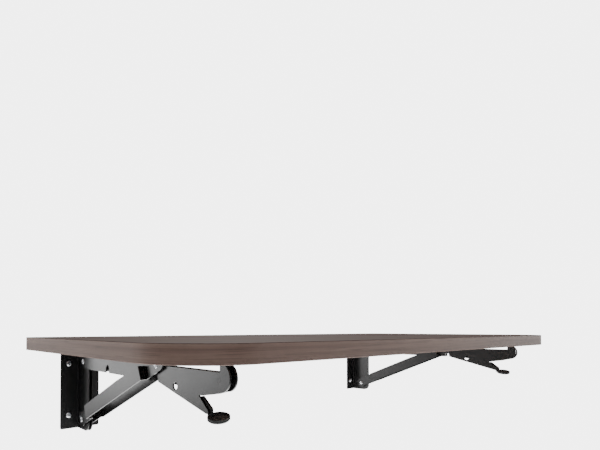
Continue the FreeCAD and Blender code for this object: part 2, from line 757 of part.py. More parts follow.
def make_finger_pad(name, offset):
    """Moulded stem beside the lever tail with a tilted dished pad."""
    body = new_body(name, (offset, "-hinge_standoff - lever_reach", "hinge_height"))
    stem = [
        ("crook_reach", "-crook_drop - stem_gap"),
        ("crook_reach - stem_depth", "-crook_drop - stem_gap / 2"),
        ("stem_side + stem_gap", "-stem_bend"),
        ("stem_side", "-tail_drop - pad_drop"),
        ("tail_far", "-tail_drop - pad_drop"),
        ("tail_far", "-tail_heel_drop"),
    ]
    side_plate(body, "stem", "-lever_inner", "stem_width", stem)
    sketch = body.newObject("Sketcher::SketchObject", "dish_outline")
    sketch.AttachmentSupport = [(origin_plane(body, "YZ_Plane"), "")]
    sketch.MapMode = "FlatFace"
    tilt = FreeCAD.Rotation(FreeCAD.Vector(-size("pad_lean"), 0, size("pad_tilt")), 10)
    sketch.AttachmentOffset = FreeCAD.Placement(FreeCAD.Vector(), tilt)
    sketch.setExpression("AttachmentOffset.Base.x", bound("pad_shift"))
    sketch.setExpression("AttachmentOffset.Base.y", bound("-tail_drop - pad_drop"))
    sketch.setExpression("AttachmentOffset.Base.z", bound("pad_side"))
    sketch.setExpression("AttachmentOffset.Rotation.Angle", bound("sqrt(pad_tilt ^ 2 + pad_lean ^ 2)"))
    rim = "pad_diameter / 2"
    draw_outline(sketch, [
        ("0", "-pad_thickness / 2"),
        (rim + " - pad_bevel", "-pad_thickness / 2"),
        (rim, "-pad_thickness / 2 + pad_bevel"),
        (rim, "pad_thickness / 2"),
        (rim + " - pad_rim", "pad_thickness / 2"),
        (rim + " - pad_rim - pad_hollow", "pad_thickness / 2 - pad_hollow"),
        ("0", "pad_thickness / 2 - pad_hollow"),
    ])
    dish = body.newObject("PartDesign::Revolution", "dish")
    dish.Profile = sketch
    dish.ReferenceAxis = (sketch, ["V_Axis"])
    dish.Angle = 360
    body.Tip = dish
    doc.recompute()
    slot = [
        ("tail_heel - slot_play", "-tail_drop - slot_play"),
        ("tail_far + tail_width", "-tail_drop - slot_play"),
        ("tail_far + tail_width", "-tail_heel_drop + stem_depth"),
        ("tail_heel - slot_play", "-tail_heel_drop + stem_depth"),
    ]
    cut = outline_sketch(body, "tail_slot", "YZ_Plane", "-lever_inner", slot)
    pocket(body, "tail_slot", cut, "lever_sheet + slot_play")
    return body


def make_arm_screws(name, offset):
    """Four pan head screws that hold the arm to the board."""
    body = new_body(name, (offset, "-hinge_standoff", "hinge_height"))
    sketch = new_sketch(body, "screw_outline", "XZ_Plane", "screw_start")
    sketch.setExpression("AttachmentOffset.Base.x", bound("-screw_spacing_side / 2"))
    sketch.setExpression("AttachmentOffset.Base.y", bound("hinge_drop - sheet"))
    radius = "screw_head / 2"
    draw_outline(sketch, [
        ("0", "-screw_head_height"),
        (radius + " - screw_ease", "-screw_head_height"),
        (radius, "-screw_head_height + screw_ease"),
        (radius, "0"),
        ("screw_shank / 2", "0"),
        ("screw_shank / 2", "screw_length - screw_shank / 2"),
        ("0", "screw_length"),
    ])
    screw = body.newObject("PartDesign::Revolution", "screw")
    screw.Profile = sketch
    screw.ReferenceAxis = (sketch, ["V_Axis"])
    screw.Angle = 360
    body.Tip = screw
    doc.recompute()
    grid(body, "screws", [screw], sketch,
         ("H_Axis", "screw_spacing_side", 2), ("N_Axis", "screw_pitch", 2))
    return body


# ---------------------------------------------------------------- whole table

def make_bracket(side, offset):
    """All parts of one bracket."""
    stack = "bar_outer + running_gap"
    return [
        make_wall_plate(side + "_wall_plate", offset),
        make_pin(side + "_hinge_pin", offset, "hinge_height", "bar_inner"),
        make_pin(side + "_foot_pin", offset, "-hinge_height", stack),
        make_spacers(side + "_foot_spacers", offset),
        make_arm(side + "_arm", offset),
        make_arm_screws(side + "_arm_screws", offset),
        make_bar(side + "_brace_right_bar", offset, 1, "right_side"),
        make_bar(side + "_brace_left_bar", offset, -1, "left_side"),
        make_knee_rivets(side + "_knee_rivets", offset),
        make_lever(side + "_release_lever", offset),
        make_lever_pin(side + "_lever_pin", offset),
        make_finger_pad(side + "_finger_pad", offset),
    ]


def check(bodies):
    """Stop when any object is in error or any part has no sound shape."""
    for item in doc.Objects:
        if "Invalid" in item.State or "Error" in item.State:
            raise RuntimeError("object in error: " + item.Name)
    for body in bodies:
        if body.Shape.isNull() or not body.Shape.isValid() or not body.Shape.Solids:
            raise RuntimeError("no sound shape: " + body.Label)


def export(bodies):
    """One STEP file for each part."""
    os.makedirs("parts", exist_ok=True)
    for body in bodies:
        body.Shape.exportStep(os.path.join("parts", body.Label + ".step"))


fill_sheet()
parts = [make_board(), make_front_band(), make_back_band()]
parts += make_bracket("left", "-bracket_offset")
parts += make_bracket("right", "bracket_offset")
doc.recompute()
check(parts)
export(parts)
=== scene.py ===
import math

import bmesh
import bpy
import numpy as np
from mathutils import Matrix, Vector


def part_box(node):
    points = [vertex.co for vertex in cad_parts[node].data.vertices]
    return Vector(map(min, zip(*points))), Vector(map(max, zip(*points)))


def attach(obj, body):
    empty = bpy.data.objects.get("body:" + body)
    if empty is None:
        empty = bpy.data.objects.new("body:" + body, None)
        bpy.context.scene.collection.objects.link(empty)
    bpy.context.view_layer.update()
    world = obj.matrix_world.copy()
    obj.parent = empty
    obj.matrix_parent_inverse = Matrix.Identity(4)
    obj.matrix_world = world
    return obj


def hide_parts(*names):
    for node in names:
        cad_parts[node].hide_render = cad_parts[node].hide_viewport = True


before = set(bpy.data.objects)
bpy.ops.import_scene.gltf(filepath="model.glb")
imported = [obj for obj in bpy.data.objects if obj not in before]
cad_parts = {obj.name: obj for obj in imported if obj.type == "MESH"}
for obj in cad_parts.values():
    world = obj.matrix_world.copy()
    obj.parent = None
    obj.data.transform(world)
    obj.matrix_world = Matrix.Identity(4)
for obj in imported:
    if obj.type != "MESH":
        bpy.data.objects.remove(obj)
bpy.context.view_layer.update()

bl_info = {
    "name": "Wall mounted drop leaf table",
    "version": (1, 0, 0),
    "blender": (4, 5, 0),
    "location": "View3D > Sidebar > Table",
    "description": "Dresses a wall mounted drop leaf table: panel, folding brackets and small hardware",
    "category": "Object",
}

SIDES = ("left", "right")
MM = 0.001

# ---------------------------------------------------------------- sizes besides the frame's

WALL_SHEET = 1.5 * MM        # steel of a wall plate
WALL_HOLES_APART = 35 * MM   # a plate's holes, sideways
WALL_HOLES_IN = 20.5 * MM    # a plate's holes to its upper and lower end
WALL_SHANK = 2.5 * MM        # radius of a wall screw under its head

PIN_RADIUS = 3 * MM          # hinge and foot pins
PIN_HEAD = 1.5 * MM          # height of their heads

STUD_RADIUS = 2.5 * MM       # knee rivet
BOSS_INSIDE = 5.4 * MM       # inner face of its boss, from the bracket's middle
BAR_INSIDE = 7.0 * MM        # brace bar at the knee, from the bracket's middle
BAR_OUTSIDE = 8.5 * MM

ARM_SCREW_HEAD = 3.3 * MM    # radius
ARM_SCREW_HEIGHT = 2 * MM    # of the head
ARM_SCREW_SHANK = 1.75 * MM  # radius

COIL_RADIUS = 4.2 * MM       # lever spring
COIL_WIDTH = 2.1 * MM
COIL_LEG = 6 * MM
COIL_TURNS = 1.9

PAD_EDGE = 0.5 * MM          # rounding of a finger pad
TOP_SHADE_LINE = 0.6 * MM         # painted shade line along the top of the edge band, its height from the top down

BOARD_STRIPES = 0.13         # how strong the pinstripes are
EDGE_STRIPES = 0.03

# name, place, aim, diameter, power
PANELS = (
    ("left_rear_panel", (-1.45, 1.5, 0.3), (-0.35, -0.15, 0), 1.4, 25.0),
    ("right_front_panel", (2.9, -1.3, 0.3), (0.4, -0.4, 0), 1.2, 40.0),
    ("right_rear_panel", (1.6, 1.8, 2.4), (0, -0.1, 0), 1.5, 30.0),
    ("floor_wash", (0, -0.2, -0.42), (0, -0.2, -1), 2.6, 85.0),
)
SURROUNDINGS_LIT = 0.12      # what the white surroundings add to the light
SURROUNDINGS_SEEN = 5.0      # how bright they look
FLOOR_RINGS = (0.0, 0.9, 1.8)
FLOOR_FADE = (0.5, 1.7)      # the floor fades between these radii

CAMERA_PLACE = (-0.6094, -0.6794, 0.0906)
CAMERA_RISE = 0.0176         # upward from level, radians
CAMERA_TURN = -0.6984        # from the table's depth, radians
CAMERA_SHIFT = (0.1066, 0.16)


def middle(node):
    """Middle of a CAD node's box."""
    low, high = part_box(node)
    return (low + high) / 2


# ---------------------------------------------------------------- user's sizes and colours

def colour_entry(name, note, value):
    """A colour property in sRGB, with a hex default."""
    return bpy.props.StringProperty(name=name, description=note, default=value)


class WoodFinish(bpy.types.PropertyGroup):
    """Colours and grain of the wood laminate."""
    dark: colour_entry("Dark grain", "Pores and late wood, sRGB hex", "#46332c")
    middle: colour_entry("Ground", "Main colour of the laminate, sRGB hex", "#69534a")
    light: colour_entry("Light grain", "Early wood, sRGB hex", "#846e62")
    grey: colour_entry("Grey bands", "Broad bands without lines, sRGB hex", "#5f504b")
    grain_width: bpy.props.FloatProperty(
        name="Grain width", description="Width of one grain line",
        default=0.0022, min=0.0005, max=0.02, unit="LENGTH")
    grain_length: bpy.props.FloatProperty(
        name="Grain length", description="Length of one grain line",
        default=0.16, min=0.01, max=1.0, unit="LENGTH")
    stripe_pitch: bpy.props.FloatProperty(
        name="Stripe pitch", description="Spacing of the pinstripes",
        default=0.010, min=0.001, max=0.05, unit="LENGTH")


class MetalFinish(bpy.types.PropertyGroup):
    """Colours of the metal and plastic."""
    coat: colour_entry("Powder coat", "Black of the brackets, sRGB hex", "#141415")
    zinc: colour_entry("Zinc", "Screws and pins, sRGB hex", "#e2e4e6")
    plastic: colour_entry("Moulding", "Finger pads, sRGB hex", "#121213")
    spring: colour_entry("Spring steel", "Torsion springs, sRGB hex", "#3a3b3d")


class SheetSizes(bpy.types.PropertyGroup):
    """Edges of the sheet metal."""
    edge: bpy.props.FloatProperty(
        name="Sheet edge", description="Rounding of the edges of the steel sheet",
        default=0.00032, min=0.00005, max=0.001, unit="LENGTH")


class HardwareSizes(bpy.types.PropertyGroup):
    """Screws, pins and springs."""
    wall_head: bpy.props.FloatProperty(
        name="Wall screw head", description="Head diameter of the wall screws",
        default=0.0084, min=0.006, max=0.012, unit="LENGTH")
    wall_head_height: bpy.props.FloatProperty(
        name="Wall screw head height", description="Head height of the wall screws",
        default=0.0026, min=0.001, max=0.005, unit="LENGTH")
    spring_wire: bpy.props.FloatProperty(
        name="Spring wire", description="Wire diameter of the lever springs",
        default=0.0010, min=0.0005, max=0.002, unit="LENGTH")


class StageSettings(bpy.types.PropertyGroup):
    """Floor, light and camera."""
    floor_drop: bpy.props.FloatProperty(
        name="Floor drop", description="Floor below the table",
        default=0.75, min=0.1, max=2.0, unit="LENGTH")
    key_power: bpy.props.FloatProperty(
        name="Key light", description="Power of the key light", default=41.5, min=0.0)
    lens: bpy.props.FloatProperty(
        name="Lens", description="Focal length of the camera", default=26.86, min=10.0, max=200.0)


class TableSettings(bpy.types.PropertyGroup):
    """All settings of the table."""
    wood: bpy.props.PointerProperty(type=WoodFinish)
    metal: bpy.props.PointerProperty(type=MetalFinish)
    sheet: bpy.props.PointerProperty(type=SheetSizes)
    hardware: bpy.props.PointerProperty(type=HardwareSizes)
    stage: bpy.props.PointerProperty(type=StageSettings)


def settings():
    """The table's settings."""
    return bpy.context.scene.drop_leaf_table


# ---------------------------------------------------------------- materials

def linear(code):
    """Linear colour from an sRGB hex code."""
    parts = [int(code[i:i + 2], 16) / 255 for i in (1, 3, 5)]
    parts = [p / 12.92 if p <= 0.04045 else ((p + 0.055) / 1.055) ** 2.4 for p in parts]
    return (parts[0], parts[1], parts[2], 1.0)


def add(tree, kind, inputs=None, **values):
    """Add a node; an input is a number, a colour or another node's output."""
    node = tree.nodes.new(kind)
    for key, value in values.items():
        setattr(node, key, value)
    for key, value in (inputs or {}).items():
        if isinstance(value, bpy.types.NodeSocket):
            tree.links.new(value, node.inputs[key])
        else:
            node.inputs[key].default_value = value
    return node


def new_material(name):
    """Empty node material and its output node."""
    found = bpy.data.materials.get(name)
    if found:
        return found, None
    material = bpy.data.materials.new(name)
    material.use_nodes = True
    material.node_tree.nodes.clear()
    return material, material.node_tree


def ramp_stops(node, stops):
    """Set a colour ramp's stops from (place, colour) pairs."""
    ramp = node.color_ramp
    while len(ramp.elements) > 1:
        ramp.elements.remove(ramp.elements[-1])
    ramp.elements[0].position = stops[0][0]
    ramp.elements[0].color = stops[0][1]
    for place, colour in stops[1:]:
        ramp.elements.new(place).color = colour


def surface(tree, inputs):
    """Principled shader on the material's output."""
    shader = add(tree, "ShaderNodeBsdfPrincipled", inputs)
    add(tree, "ShaderNodeOutputMaterial", {"Surface": shader.outputs["BSDF"]})


def walnut_laminate(name, scale, stripes, shade_height=1.0):
    """Walnut grain melamine: printed paper under a satin overlay.

    Long streaks carry even pinstripes about 10 mm apart, between broad grey bands without
    them; finer fibre lines and short dark pores lie over both, and the gloss is even with a
    faint pressed texture.  scale is grain lines per metre along X, Y and Z, and stripes is
    how strong the pinstripes are.  Above the given shade height the edge band is painted darker:
    a painted shade line along its top edge.
    """
    material, tree = new_material(name)
    if tree is None:
        return material
    wood = settings().wood
    place = add(tree, "ShaderNodeTexCoord").outputs["Object"]
    along = add(tree, "ShaderNodeMapping", {"Vector": place, "Scale": scale}).outputs["Vector"]
    broad = add(tree, "ShaderNodeTexNoise",
                {"Vector": along, "Scale": 0.16, "Detail": 3.0, "Roughness": 0.55, "Distortion": 0.6})
    lines = add(tree, "ShaderNodeTexNoise",
                {"Vector": along, "Scale": 0.55, "Detail": 4.0, "Roughness": 0.6, "Distortion": 0.25})
    fibre = add(tree, "ShaderNodeTexNoise",
                {"Vector": along, "Scale": 2.6, "Detail": 2.0, "Roughness": 0.5})
    zone = add(tree, "ShaderNodeTexNoise",
               {"Vector": along, "Scale": 0.026, "Detail": 1.0, "Roughness": 0.4})
    lined = add(tree, "ShaderNodeMapRange",
                {"Value": zone.outputs["Fac"], "From Min": 0.38, "From Max": 0.52},
                interpolation_type="SMOOTHSTEP")
    depth = add(tree, "ShaderNodeMath", {0: lined.outputs["Result"], 1: stripes, 2: 0.02},
                operation="MULTIPLY_ADD")
    mixed = add(tree, "ShaderNodeMath", {0: broad.outputs["Fac"], 1: lines.outputs["Fac"]},
                operation="ADD")
    fine = add(tree, "ShaderNodeMath",
               {0: fibre.outputs["Fac"], 1: 0.35, 2: mixed.outputs[0]}, operation="MULTIPLY_ADD")
    across = add(tree, "ShaderNodeVectorMath", {0: along, 1: (0, 1, 1)},
                 operation="DOT_PRODUCT").outputs["Value"]
    phase = add(tree, "ShaderNodeMath", {0: broad.outputs["Fac"], 1: 11.0}, operation="MULTIPLY")
    turn = 2 * math.pi * wood.grain_width / wood.stripe_pitch
    bent = add(tree, "ShaderNodeMath", {0: across, 1: turn, 2: phase.outputs[0]},
               operation="MULTIPLY_ADD")
    stripe = add(tree, "ShaderNodeMath", {0: bent.outputs[0]}, operation="SINE")
    drawn = add(tree, "ShaderNodeMath",
                {0: stripe.outputs[0], 1: depth.outputs[0], 2: fine.outputs[0]},
                operation="MULTIPLY_ADD")
    level = add(tree, "ShaderNodeMapRange",
                {"Value": drawn.outputs[0], "From Min": 0.60, "From Max": 1.66})
    ground = add(tree, "ShaderNodeValToRGB", {"Fac": level.outputs["Result"]})
    ramp_stops(ground, [(0.0, linear(wood.dark)), (0.5, linear(wood.middle)),
                        (1.0, linear(wood.light))])
    pores = add(tree, "ShaderNodeTexNoise",
                {"Vector": along, "Scale": 3.4, "Detail": 0.0, "Roughness": 0.3})
    dark = add(tree, "ShaderNodeMapRange",
               {"Value": pores.outputs["Fac"], "From Min": 0.66, "From Max": 0.74, "To Max": 0.45})
    plain = add(tree, "ShaderNodeMath", {0: lined.outputs["Result"], 1: -0.55, 2: 0.55},
                operation="MULTIPLY_ADD")
    banded = add(tree, "ShaderNodeMix",
                 {"Factor": plain.outputs[0], 6: ground.outputs["Color"],
                  7: linear(wood.grey)}, data_type="RGBA")
    colour = add(tree, "ShaderNodeMix",
                 {"Factor": dark.outputs["Result"], 6: banded.outputs[2],
                  7: linear(wood.dark)}, data_type="RGBA")
    height = add(tree, "ShaderNodeSeparateXYZ", {"Vector": place}).outputs["Z"]
    # painted shade: above this height the edge band is darkened towards #33211d, a shade line along its
    # top edge
    shade_line = add(tree, "ShaderNodeMapRange",
                {"Value": height, "From Min": shade_height, "From Max": shade_height + 0.0002, "To Max": 0.75})
    colour = add(tree, "ShaderNodeMix",
                 {"Factor": shade_line.outputs["Result"], 6: colour.outputs[2],
                  7: linear("#33211d")}, data_type="RGBA")
    gloss = add(tree, "ShaderNodeMapRange",
                {"Value": fibre.outputs["Fac"], "To Min": 0.64, "To Max": 0.74})
    relief = add(tree, "ShaderNodeBump",
                 {"Height": fibre.outputs["Fac"], "Strength": 0.06, "Distance": 0.0002})
    surface(tree, {"Base Color": colour.outputs[2], "Roughness": gloss.outputs["Result"],
                   "Normal": relief.outputs["Normal"]})
    return material


def black_powder_coat():
    """Black polyester powder coat on steel: satin, with a fine orange peel of about 0.8 mm."""
    material, tree = new_material("black_powder_coat_steel")
    if tree is None:
        return material
    place = add(tree, "ShaderNodeTexCoord").outputs["Object"]
    peel = add(tree, "ShaderNodeTexNoise",
               {"Vector": place, "Scale": 1 / (0.8 * MM), "Detail": 1.0, "Roughness": 0.5})
    cloud = add(tree, "ShaderNodeTexNoise",
                {"Vector": place, "Scale": 1 / (40 * MM), "Detail": 3.0, "Roughness": 0.6})
    gloss = add(tree, "ShaderNodeMapRange",
                {"Value": cloud.outputs["Fac"], "To Min": 0.30, "To Max": 0.38})
    tone = add(tree, "ShaderNodeMix",
               {"Factor": cloud.outputs["Fac"], 6: linear(settings().metal.coat),
                7: linear("#1b1b1c")}, data_type="RGBA")
    relief = add(tree, "ShaderNodeBump",
                 {"Height": peel.outputs["Fac"], "Strength": 0.18, "Distance": 0.00006})
    surface(tree, {"Base Color": tone.outputs[2], "Roughness": gloss.outputs["Result"],
                   "Normal": relief.outputs["Normal"]})
    return material


def bright_zinc():
    """Zinc plated steel: bright metal with fine scratches of about 0.3 mm and soft clouding."""
    material, tree = new_material("bright_zinc_plate")
    if tree is None:
        return material
    place = add(tree, "ShaderNodeTexCoord").outputs["Object"]
    cloud = add(tree, "ShaderNodeTexNoise",
                {"Vector": place, "Scale": 1 / (2.5 * MM), "Detail": 3.0, "Roughness": 0.6})
    scratch = add(tree, "ShaderNodeTexNoise",
                  {"Vector": place, "Scale": 1 / (0.3 * MM), "Detail": 2.0, "Roughness": 0.6})
    tone = add(tree, "ShaderNodeMix",
               {"Factor": cloud.outputs["Fac"], 6: linear(settings().metal.zinc),
                7: linear("#c6c9cd")}, data_type="RGBA")
    gloss = add(tree, "ShaderNodeMapRange",
                {"Value": scratch.outputs["Fac"], "To Min": 0.34, "To Max": 0.48})
    relief = add(tree, "ShaderNodeBump",
                 {"Height": scratch.outputs["Fac"], "Strength": 0.1, "Distance": 0.00002})
    surface(tree, {"Base Color": tone.outputs[2], "Metallic": 1.0,
                   "Roughness": gloss.outputs["Result"], "Normal": relief.outputs["Normal"]})
    return material


def moulded_abs():
    """Black moulded ABS: an even spark eroded grain of about 0.25 mm, nearly matt."""
    material, tree = new_material("black_moulded_abs")
    if tree is None:
        return material
    place = add(tree, "ShaderNodeTexCoord").outputs["Object"]
    grain = add(tree, "ShaderNodeTexNoise",
                {"Vector": place, "Scale": 1 / (0.25 * MM), "Detail": 2.0, "Roughness": 0.6})
    tone = add(tree, "ShaderNodeMix",
               {"Factor": grain.outputs["Fac"], 6: linear(settings().metal.plastic),
                7: linear("#19191a")}, data_type="RGBA")
    gloss = add(tree, "ShaderNodeMapRange",
                {"Value": grain.outputs["Fac"], "To Min": 0.60, "To Max": 0.70})
    relief = add(tree, "ShaderNodeBump",
                 {"Height": grain.outputs["Fac"], "Strength": 0.08, "Distance": 0.00003})
    surface(tree, {"Base Color": tone.outputs[2], "Roughness": gloss.outputs["Result"],
                   "Normal": relief.outputs["Normal"]})
    return material


def spring_steel():
    """Oiled spring wire: dark drawn steel with a soft sheen along the wire."""
    material, tree = new_material("oiled_spring_steel")
    if tree is None:
        return material
    place = add(tree, "ShaderNodeTexCoord").outputs["Object"]
    drawn = add(tree, "ShaderNodeTexNoise",
                {"Vector": place, "Scale": 1 / (0.4 * MM), "Detail": 2.0, "Roughness": 0.5})
    tone = add(tree, "ShaderNodeMix",
               {"Factor": drawn.outputs["Fac"], 6: linear(settings().metal.spring),
                7: linear("#55575a")}, data_type="RGBA")
    gloss = add(tree, "ShaderNodeMapRange",
                {"Value": drawn.outputs["Fac"], "To Min": 0.30, "To Max": 0.45})
    surface(tree, {"Base Color": tone.outputs[2], "Metallic": 1.0,
                   "Roughness": gloss.outputs["Result"]})
    return material


# ---------------------------------------------------------------- meshes

def dress(obj, material):
    """Give an object one material."""
    obj.data.materials.clear()
    obj.data.materials.append(material)


def new_piece(name, mesh, material, body):
    """Finished piece: linked, dressed, and riding on its body."""
    obj = bpy.data.objects.new(name, mesh)
    bpy.context.collection.objects.link(obj)
    dress(obj, material)
    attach(obj, body)
    return obj


def softened(node, name, material, body, edge):
    """Copy of a CAD node with clean faces and rounded edges, which stands for the node."""
    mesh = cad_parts[node].data.copy()
    mesh.name = name
    work = bmesh.new()
    work.from_mesh(mesh)
    bmesh.ops.remove_doubles(work, verts=work.verts, dist=1e-6)
    bmesh.ops.dissolve_limit(work, angle_limit=math.radians(1.0), verts=work.verts,
                             edges=work.edges)
    bmesh.ops.recalc_face_normals(work, faces=work.faces)
    work.to_mesh(mesh)
    work.free()
    mesh.polygons.foreach_set("use_smooth", np.ones(len(mesh.polygons), bool))
    obj = new_piece(name, mesh, material, body)
    bevel = obj.modifiers.new("edges", "BEVEL")
    bevel.width = edge
    bevel.segments = 3
    bevel.limit_method = "ANGLE"
    bevel.angle_limit = math.radians(35)
    bevel.use_clamp_overlap = True
    weights = obj.modifiers.new("flat_faces", "WEIGHTED_NORMAL")
    weights.mode = "FACE_AREA"
    weights.weight = 100
    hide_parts(node)
    return obj


def ring_mesh(name, points, caps=False):
    """Mesh from a grid of points, in which each row is a closed ring."""
    rows, columns = points.shape[:2]
    index = np.arange(rows * columns).reshape(rows, columns)
    index = np.hstack([index, index[:, :1]])
    faces = np.stack([index[:-1, :-1], index[:-1, 1:], index[1:, 1:], index[1:, :-1]], axis=-1)
    polygons = [tuple(f) for f in faces.reshape(-1, 4).tolist()]
    if caps:
        polygons.append(tuple(index[0, :columns].tolist()[::-1]))
        polygons.append(tuple(index[rows - 1, :columns].tolist()))
    mesh = bpy.data.meshes.new(name)
    mesh.from_pydata(points.reshape(-1, 3).tolist(), [], polygons)
    work = bmesh.new()
    work.from_mesh(mesh)
    bmesh.ops.remove_doubles(work, verts=work.verts, dist=1e-7)
    bmesh.ops.recalc_face_normals(work, faces=work.faces)
    work.to_mesh(mesh)
    work.free()
    mesh.polygons.foreach_set("use_smooth", np.ones(len(mesh.polygons), bool))
    return mesh


def axes_across(axis):
    """The unit axis, and two unit vectors that span the plane across it."""
    axis = np.array(axis, float)
    axis = axis / np.linalg.norm(axis)
    helper = np.array([0, 0, 1.0]) if abs(axis[2]) < 0.9 else np.array([1.0, 0, 0])
    u = np.cross(axis, helper)
    u = u / np.linalg.norm(u)
    return axis, u, np.cross(axis, u)


def turned(profile, axis, start, count=48):
    """Turned shape: point = start + axis * height + radius * (cos a * u + sin a * v).

    profile is a list of (radius, height) from pole to pole; u and v span the plane
    across the axis, and a runs once around.
    """
    profile = np.array(profile, float)
    axis, u, v = axes_across(axis)
    angle = np.linspace(0, 2 * np.pi, count, endpoint=False)
    ring = np.cos(angle)[:, None] * u + np.sin(angle)[:, None] * v
    return (np.array(start, float) + profile[:, None, 1:2] * axis
            + profile[:, None, 0:1] * ring[None])


def dome(radius, height, base, steps=7):
    """Half profile of a domed head, from its rim at height base to its pole.

    radius falls as the cosine and the height rises as the sine of one angle.
    """
    angle = np.linspace(0, np.pi / 2, steps)
    return [(radius * math.cos(a), base + height * math.sin(a)) for a in angle]


def join_meshes(name, meshes):
    """One mesh from several."""
    work = bmesh.new()
    for mesh in meshes:
        work.from_mesh(mesh)
        bpy.data.meshes.remove(mesh)
    whole = bpy.data.meshes.new(name)
    work.to_mesh(whole)
    work.free()
    whole.polygons.foreach_set("use_smooth", np.ones(len(whole.polygons), bool))
    return whole


def two_headed_pin(name, centre, shank_radius, head_radius, reach, head_height):
    """Pin across the bracket with a domed head at each end; the profile runs pole to pole."""
    crown = dome(head_radius * 0.98, head_height * 0.85, reach + head_height * 0.15)
    right = [(shank_radius, reach), (head_radius * 0.97, reach),
             (head_radius, reach + head_height * 0.08)] + crown
    left = [(radius, -height) for radius, height in reversed(right)]
    return ring_mesh(name, turned(left + right, (1, 0, 0), centre))


def crossed_screw(name, centre, axis, head_radius, head_height, shank_radius, length, turn):
    """Pan head screw with a cross recess.

    The head is a grid over radius r and angle: height = rim + (1 - rim) * (1 - r ** 4), less
    a recess whose depth follows the distance from the nearer arm of the cross.
    """
    rim = 0.35
    arm_reach = 0.50
    arm_half = 0.095
    arm_slope = 0.05
    rings = np.concatenate([np.linspace(0, 0.62, 22), np.linspace(0.66, 1.0, 9)])
    angle = np.linspace(0, 2 * np.pi, 96, endpoint=False)
    r, a = np.meshgrid(rings, angle, indexing="ij")
    x = np.abs(r * np.cos(a + turn))
    y = np.abs(r * np.sin(a + turn))
    outside = np.minimum(np.maximum(x - arm_reach, y - arm_half),
                         np.maximum(y - arm_reach, x - arm_half))
    recess = np.clip(-outside / arm_slope, 0, 1) * (1 - 0.55 * np.clip(r / arm_reach, 0, 1))
    height = head_height * (rim + (1 - rim) * (1 - r ** 4) - 0.8 * recess)
    axis, u, v = axes_across(axis)
    start = np.array(centre, float)
    top = (start + height[..., None] * axis
           + head_radius * (r * np.cos(a))[..., None] * u
           + head_radius * (r * np.sin(a))[..., None] * v)
    below = turned([(head_radius, head_height * rim), (head_radius, head_height * 0.12),
                    (head_radius * 0.96, 0.0), (shank_radius, 0.0), (shank_radius, -length),
                    (0.0, -length)], axis, centre, 96)
    return ring_mesh(name, np.concatenate([top, below], axis=0))


def coil(name, centre, radius, wire, turns, width, leg):
    """Torsion spring: a helix around X whose wire is a ring carried along it, with two legs.

    centre line = (width * t, radius * cos(2 pi turns t), radius * sin(2 pi turns t)).
    """
    t = np.linspace(0, 1, int(28 * turns))
    a = 2 * np.pi * turns * t
    path = np.stack([width * (t - 0.5), radius * np.cos(a), radius * np.sin(a)], axis=1)
    out = np.linspace(0, 1, 6)[1:, None]
    tail = path[-1] + out * np.array([0.0, -math.sin(a[-1]) * leg, math.cos(a[-1]) * leg])
    head = path[0] - out[::-1] * np.array([0.0, 0.0, leg])
    path = np.concatenate([head, path, tail])
    tangent = np.gradient(path, axis=0)
    tangent = tangent / np.linalg.norm(tangent, axis=1)[:, None]
    first = np.cross(tangent, np.array([1.0, 0, 0]))
    first = first / np.linalg.norm(first, axis=1)[:, None]
    second = np.cross(tangent, first)
    ring = np.linspace(0, 2 * np.pi, 12, endpoint=False)
    points = (path[:, None] + wire / 2 * (np.cos(ring)[None, :, None] * first[:, None]
                                          + np.sin(ring)[None, :, None] * second[:, None]))
    return ring_mesh(name, points + np.array(centre), caps=True)


# ---------------------------------------------------------------- operators

def grain():
    """Grain lines per metre, along and across the grain."""
    wood = settings().wood
    return 1 / wood.grain_length, 1 / wood.grain_width


class TABLE_OT_panel_board(bpy.types.Operator):
    """Wood laminate on the tabletop board"""
    bl_idname = "table.panel_board"
    bl_label = "Tabletop board"

    def execute(self, context):
        along, across = grain()
        dress(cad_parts["tabletop_board"],
              walnut_laminate("walnut_laminate_board", (along, across, across), BOARD_STRIPES))
        return {"FINISHED"}


class TABLE_OT_edge_bands(bpy.types.Operator):
    """Edge bands with the grain running along them"""
    bl_idname = "table.edge_bands"
    bl_label = "Edge bands"

    def execute(self, context):
        along, across = grain()
        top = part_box("front_edge_band")[1].z
        # the edge material carries the painted shade line along the top of the band
        material = walnut_laminate("walnut_laminate_edge", (along, along, across),
                                   EDGE_STRIPES, top - TOP_SHADE_LINE)
        for node in ("front_edge_band", "back_edge_band"):
            dress(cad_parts[node], material)
        return {"FINISHED"}


class TABLE_OT_bracket_sheets(bpy.types.Operator):
    """Powder coated sheet parts of both brackets, with rounded edges"""
    bl_idname = "table.bracket_sheets"
    bl_label = "Bracket sheets"

    def execute(self, context):
        coat = black_powder_coat()
        edge = settings().sheet.edge
        for side in SIDES:
            for part, body in (("wall_plate", "wall_mounts"), ("arm", "table"),
                               ("brace_left_bar", side + "_brace"),
                               ("brace_right_bar", side + "_brace"),
                               ("release_lever", side + "_lever")):
                node = side + "_" + part
                softened(node, node + "_coated", coat, body, edge)
            dress(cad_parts[side + "_lever_pin"], coat)
        return {"FINISHED"}


